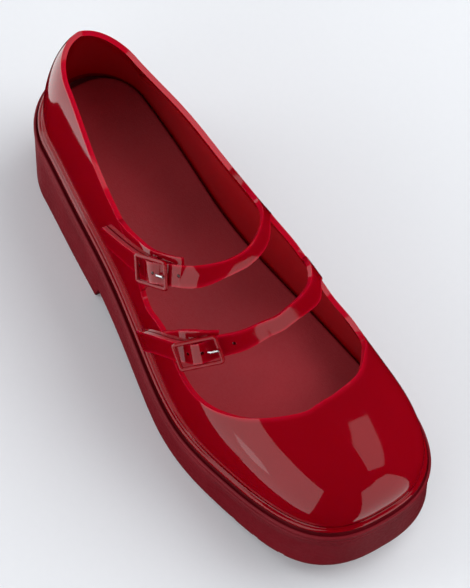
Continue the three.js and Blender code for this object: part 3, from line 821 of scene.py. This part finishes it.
# Rounded rectangle above the strap, a centre bar under the strap, and a post at each side that joins them
def make_buckle_frame(key):
    name = BUCKLES[key][0]
    low = GAP + STRAP_WALL + GAP
    half = FRAME_BAR / 2
    radius = 0.15 * FRAME_WIDTH - half
    dx = FRAME_LENGTH / 2 - half - radius
    dy = FRAME_WIDTH / 2 - half - radius
    path = []
    for sx, sy, turn in ((1, 1, 0), (-1, 1, 90), (-1, -1, 180), (1, -1, 270)):
        path += [(sx * dx, sy * dy, turn + extra) for extra in range(0, 91, 15)]
        nx, ny = (-sx, sy) if sx == sy else (sx, -sy)
        for share in np.linspace(0, 1, LONG_SIDE_STEPS if sx == sy else SHORT_SIDE_STEPS)[1:-1]:
            path.append((mix(sx, nx, share) * dx, mix(sy, ny, share) * dy, turn + 90))

    def station(x, y, degrees):
        a = math.radians(degrees)
        return lambda out, up: (x + (radius + out) * math.cos(a), y + (radius + out) * math.sin(a), up)

    shell = Shell()
    ring = rounded_section(half, half, low + half, 0.38 * FRAME_BAR)
    sweep_bar(shell, name, ring, [station(*place) for place in path], True)
    edge_y = FRAME_WIDTH / 2
    bar_middle = BAR_SEAT + CENTRE_BAR / 2
    bar_section = rounded_section(0.45 * FRAME_BAR, CENTRE_BAR / 2, bar_middle, 0.25 * CENTRE_BAR)
    across = np.linspace(-edge_y + 0.2 * FRAME_BAR, edge_y - 0.2 * FRAME_BAR, BAR_STEPS)
    sweep_bar(shell, name, bar_section, [crosswise(y) for y in across], False)
    post_top = low + half
    post_middle = (post_top + BAR_SEAT) / 2
    post = rounded_section(0.65 * FRAME_BAR, (post_top - BAR_SEAT) / 2, post_middle, 0.2 * FRAME_BAR)
    for sign in (1, -1):
        ends = sorted(sign * (edge_y - share * FRAME_BAR) for share in (0.95, 0.15))
        sweep_bar(shell, name, post, [crosswise(y) for y in ends], False)
    return shell.object("buckle_frame_" + key + "_fine")


# Short rod that rests on the frame's end, the one away from the strap's tail
def make_prong(key):
    name = BUCKLES[key][0]
    start = GAP + STRAP_WALL + GAP
    end = FRAME_LENGTH / 2
    stations = []
    for x in np.linspace(-end + 0.3 * FRAME_BAR, -0.45 * end, PRONG_STEPS):
        rise = GAP + FRAME_BAR * (1 - 0.35 * smooth(x, -0.6 * end, -0.45 * end))
        stations.append(lambda out, up, x=x, rise=rise: (0 * out + x, -out, start + rise + up))
    shell = Shell()
    sweep_bar(shell, name, rounded_section(PRONG / 2, PRONG / 2, PRONG / 2, 0.4 * PRONG), stations, False)
    return shell.object("prong_" + key)


# Materials
def node(tree, kind, settings=None, **inputs):
    made = tree.nodes.new("ShaderNode" + kind)
    for key, value in (settings or {}).items():
        setattr(made, key, value)
    for key, value in inputs.items():
        socket = made.inputs[int(key[1:]) if key[0] == "_" else key]
        if isinstance(value, bpy.types.NodeSocket):
            tree.links.new(value, socket)
        else:
            socket.default_value = value
    return made


def math_node(tree, operation, a, b=0, c=0):
    return node(tree, "Math", {"operation": operation}, _0=a, _1=b, _2=c).outputs[0]


# Share from 0 to 1 as value goes from lo to hi
def ramp(tree, value, lo, hi, out_lo=0, out_hi=1):
    steady = {"interpolation_type": "SMOOTHSTEP"}
    return node(tree, "MapRange", steady, _0=value, _1=lo, _2=hi, _3=out_lo, _4=out_hi).outputs[0]


def mix_colour(tree, share, a, b):
    return node(tree, "Mix", {"data_type": "RGBA"}, Factor=share, _6=a, _7=b).outputs[2]


def noise(tree, scale, detail=2):
    place = node(tree, "TexCoord").outputs["Object"]
    return node(tree, "TexNoise", Vector=place, Scale=scale, Detail=detail).outputs[0]


def bump(tree, height, distance, strength=1):
    return node(tree, "Bump", Height=height, Distance=distance * MM, Strength=strength).outputs[0]


def material(name, **values):
    made = bpy.data.materials.new(name)
    made.use_nodes = True
    shader = made.node_tree.nodes["Principled BSDF"]
    for socket, value in values.items():
        shader.inputs[socket.replace("_", " ").title().replace("Ior", "IOR")].default_value = value
    return made


# Links a finished colour, roughness or normal into a material's shader
def feed(made, **values):
    shader = made.node_tree.nodes["Principled BSDF"]
    for socket, value in values.items():
        made.node_tree.links.new(value, shader.inputs[socket.replace("_", " ").title()])


# Colours
GLOSS_RED = (0.26, 0.0006, 0.006, 1)
GLOSS_DEEP = (0.2, 0.0004, 0.004, 1)
# inner face painted lighter: light through the thin wall painted into its colour
INNER_FACE_PAINTED_LIGHT = (0.45, 0.001, 0.006, 1)
RIM_LIGHT_PAINT = (0.45, 0.003, 0.02, 1)
# holes painted near black: painted shade inside the punched holes
HOLE_PAINTED_SHADE = (0.03, 0, 0.001, 1)
MATTE_RED = (0.165, 0.003, 0.009, 1)
MATTE_WORN = (0.19, 0.005, 0.012, 1)
INSOLE_RED = (0.42, 0.022, 0.034, 1)
INSOLE_DEEP = (0.36, 0.018, 0.028, 1)
METAL_DULL = (0.7, 0.7, 0.73, 1)
METAL_BRIGHT = (0.88, 0.88, 0.9, 1)
PAPER_DEEP = (0.755, 0.77, 0.795, 1)
PAPER_PALE = (0.77, 0.785, 0.81, 1)
# Punched holes, in millimetres along the strap from its buckle
HOLE_STEP = 6.6
HOLE_RADIUS = 0.65
HOLE_START = -2
HOLE_RUN = 17  # holes this far each way from the first
# Faint lines around the sole's side, in millimetres below its top
LINED_BAND = (5.1, 9.9)
BAND_FADE = 0.3
LINE_TURN = 7.5  # radians of their wave per millimetre


# Gloss plastic: painted glow at thin rims, inner face painted lighter, punched holes along the straps with
# painted shade in them
def gloss_plastic():
    made = material(
        "gloss_pvc_look",
        subsurface_weight=0.5,
        subsurface_radius=(1, 0.04, 0.06),
        subsurface_scale=2.5 * MM,
    )
    tree = made.node_tree
    place = node(tree, "Attribute", {"attribute_name": "place"}).outputs["Vector"]
    parts = node(tree, "SeparateXYZ", Vector=place)
    along = math_node(tree, "ADD", parts.outputs[0], -HOLE_START)
    step = math_node(tree, "WRAP", along, -HOLE_STEP / 2, HOLE_STEP / 2)
    across = math_node(tree, "POWER", parts.outputs[1], 2)
    away = math_node(tree, "SQRT", math_node(tree, "MULTIPLY_ADD", step, step, across))
    reach = math_node(tree, "LESS_THAN", math_node(tree, "ABSOLUTE", along), HOLE_RUN)
    disc = ramp(tree, away, HOLE_RADIUS - 0.1, HOLE_RADIUS + 0.15, 1, 0)
    hole = math_node(tree, "MULTIPLY", disc, reach)
    body = mix_colour(tree, noise(tree, 25), GLOSS_DEEP, GLOSS_RED)
    # inner face painted lighter, standing in for light coming through the thin wall
    inside = math_node(tree, "GREATER_THAN", parts.outputs[1], OFF_STRAP / 2)
    body = mix_colour(tree, inside, body, INNER_FACE_PAINTED_LIGHT)
    # painted glow at rims: colour brightened where light would shine through thin edges
    painted_light_share = math_node(tree, "MULTIPLY", parts.outputs[2], 0.75)
    with_painted_rims = mix_colour(tree, painted_light_share, body, RIM_LIGHT_PAINT)
    waviness = math_node(tree, "MULTIPLY", noise(tree, 90), 0.012)
    surface = math_node(tree, "MULTIPLY_ADD", hole, -1, waviness)
    feed(
        made,
        # painted shade fills each punched hole
        base_color=mix_colour(tree, hole, with_painted_rims, HOLE_PAINTED_SHADE),
        roughness=ramp(tree, noise(tree, 260), 0.3, 0.7, 0.035, 0.075),
        normal=bump(tree, surface, 0.6),
    )
    return made


# Matte plastic: fine grain, with faint moulded lines below the sole's upper band
def matte_plastic():
    made = material("matte_pvc_look", specular_ior_level=0.2)
    tree = made.node_tree
    place = node(tree, "Attribute", {"attribute_name": "place"}).outputs["Vector"]
    below = node(tree, "SeparateXYZ", Vector=place).outputs[0]
    start, end = LINED_BAND
    above = ramp(tree, below, start, start + BAND_FADE)
    band = math_node(tree, "MULTIPLY", above, ramp(tree, below, end - BAND_FADE, end, 1, 0))
    wave = math_node(tree, "SINE", math_node(tree, "MULTIPLY", below, LINE_TURN))
    lines = math_node(tree, "MULTIPLY", wave, band)
    half_lines = math_node(tree, "MULTIPLY", lines, 0.5)
    grain = math_node(tree, "MULTIPLY_ADD", noise(tree, 1400), 0.35, half_lines)
    feed(
        made,
        base_color=mix_colour(tree, ramp(tree, noise(tree, 45, 4), 0.35, 0.7), MATTE_RED, MATTE_WORN),
        roughness=ramp(tree, noise(tree, 500), 0.3, 0.7, 0.42, 0.58),
        normal=bump(tree, grain, 0.16),
    )
    return made


# Footbed: soft matte face with a fine pebble
def footbed_plastic():
    made = material("insole_pvc_look")
    tree = made.node_tree
    feed(
        made,
        base_color=mix_colour(tree, ramp(tree, noise(tree, 30, 4), 0.3, 0.7), INSOLE_DEEP, INSOLE_RED),
        roughness=ramp(tree, noise(tree, 800), 0.3, 0.7, 0.5, 0.66),
        normal=bump(tree, noise(tree, 1700, 4), 0.12),
    )
    return made


# Plated metal: faint drawn lines
def prong_metal():
    made = material("prong_metal_look", metallic=1.0)
    tree = made.node_tree
    feed(
        made,
        base_color=mix_colour(tree, noise(tree, 700), METAL_DULL, METAL_BRIGHT),
        roughness=ramp(tree, noise(tree, 1500), 0.3, 0.7, 0.16, 0.3),
        normal=bump(tree, noise(tree, 2400), 0.02),
    )
    return made


def floor_paper():
    made = material("floor_look", roughness=0.9)
    tree = made.node_tree
    feed(made, base_color=mix_colour(tree, noise(tree, 300), PAPER_DEEP, PAPER_PALE))
    return made


gloss = gloss_plastic()
matte = matte_plastic()
footbed = footbed_plastic()
metal = prong_metal()


def dress(thing, node, look):
    thing.data.materials.append(look)
    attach(thing, "root")
    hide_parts(node)


upper = make_upper()
round_edges(upper, EDGE_ROUND)
dress(upper, "upper", gloss)
dress(make_sole(), "sole", matte)
dress(make_insole(), "insole", footbed)
for key in BUCKLES:
    dress(make_buckle_frame(key), "buckle_frame_" + key, gloss)
    dress(make_prong(key), "buckle_prong_" + key, metal)

# Camera: azimuth, elevation and roll in degrees, distance and the point it turns on in millimetres
AZIMUTH = 54.1
ELEVATION = 65.672
ROLL = 4.627
DISTANCE = 1200
PIVOT = (131.7 - ORIGIN_X, 2.26, 40)
PHOTO_FOCUS = 1568  # focal length in pixels of the photograph
PIVOT_PIXEL = (294.28, 246.15)
SHOE_MIDDLE = (305, 243)  # middle of the shoe in the photograph's pixels
FRAMING = 1.68  # the one shoe fills the frame
HEIGHT = 588  # of the picture, in pixels


def make_camera():
    data = bpy.data.cameras.new("camera")
    camera = bpy.data.objects.new("camera", data)
    bpy.context.scene.collection.objects.link(camera)
    a, e, r = (math.radians(v) for v in (AZIMUTH, ELEVATION, ROLL))
    back = Vector((math.sin(a) * math.cos(e), -math.cos(a) * math.cos(e), math.sin(e)))
    right = Vector((0, 0, 1)).cross(back).normalized()
    up = back.cross(right)
    turned_right = math.cos(r) * right + math.sin(r) * up
    turned_up = math.cos(r) * up - math.sin(r) * right
    axes = Matrix((turned_right, turned_up, back)).transposed()
    camera.matrix_world = Matrix.Translation((Vector(PIVOT) + DISTANCE * back) * MM) @ axes.to_4x4()
    data.sensor_width = 36
    data.lens = PHOTO_FOCUS * FRAMING / HEIGHT * data.sensor_width
    data.shift_x = (SHOE_MIDDLE[0] - PIVOT_PIXEL[0]) * FRAMING / HEIGHT
    data.shift_y = (PIVOT_PIXEL[1] - SHOE_MIDDLE[1]) * FRAMING / HEIGHT
    data.clip_start = 0.05
    data.clip_end = 50
    bpy.context.scene.camera = camera


# Studio: pale floor
def make_floor():
    bpy.ops.mesh.primitive_plane_add(size=FLOOR_SIZE, location=(SHOE_CENTRE.x, 0, 0))
    floor = bpy.context.object
    floor.name = "floor"
    floor.data.materials.append(floor_paper())
    floor.visible_glossy = False


# Lights: azimuth and elevation of the middle, width, height, roll, radiance, seen in gloss
# Some of them reach below the floor. Floor and sky light the shoe but don't show in its gloss.
SHOE_CENTRE = Vector((0.09, 0, 0.05))
FLOOR_SIZE = 12
LIGHT_DISTANCE = 1.5
LIGHTS = {
    "lateral_box": (-73, 10, 1.07, 2.2, -4, 1.25, True),
    "toe_box": (18, -11, 0.94, 2.7, 3, 1.1, True),
    "medial_box": (62, 56, 1.1, 0.37, 18, 0.9, True),
    "rim_box": (-130, 36, 0.6, 2.4, 11, 1.4, True),
    "heel_box": (-142, -9, 1.8, 3.87, -58, 1.3, True),
    "key": (78, 50, 1.5, 1.5, 0, 2.7, False),
}
SKY_COLOUR = (0.93, 0.96, 1, 1)
SKY_STRENGTH = 0.42


def make_lights():
    world = bpy.data.worlds.new("world")
    bpy.context.scene.world = world
    world.use_nodes = True
    world.node_tree.nodes["Background"].inputs["Color"].default_value = SKY_COLOUR
    world.node_tree.nodes["Background"].inputs["Strength"].default_value = SKY_STRENGTH
    world.cycles_visibility.glossy = False
    for name, (azimuth, elevation, width, height, roll, radiance, in_gloss) in LIGHTS.items():
        data = bpy.data.lights.new(name, "AREA")
        data.shape = "RECTANGLE"
        data.size = width
        data.size_y = height
        data.energy = radiance * math.pi * width * height
        light = bpy.data.objects.new(name, data)
        bpy.context.scene.collection.objects.link(light)
        light.visible_glossy = in_gloss
        a, e, r = (math.radians(v) for v in (azimuth, elevation, roll))
        out = Vector((math.cos(a) * math.cos(e), math.sin(a) * math.cos(e), math.sin(e)))
        right = Vector((-math.sin(a), math.cos(a), 0))
        up = out.cross(right)
        turned = right * math.cos(r) + up * math.sin(r)
        axes = Matrix((turned, out.cross(turned), out)).transposed()
        light.matrix_world = Matrix.Translation(SHOE_CENTRE + LIGHT_DISTANCE * out) @ axes.to_4x4()


bpy.context.scene.view_settings.view_transform = "Standard"
make_camera()
make_floor()
make_lights()
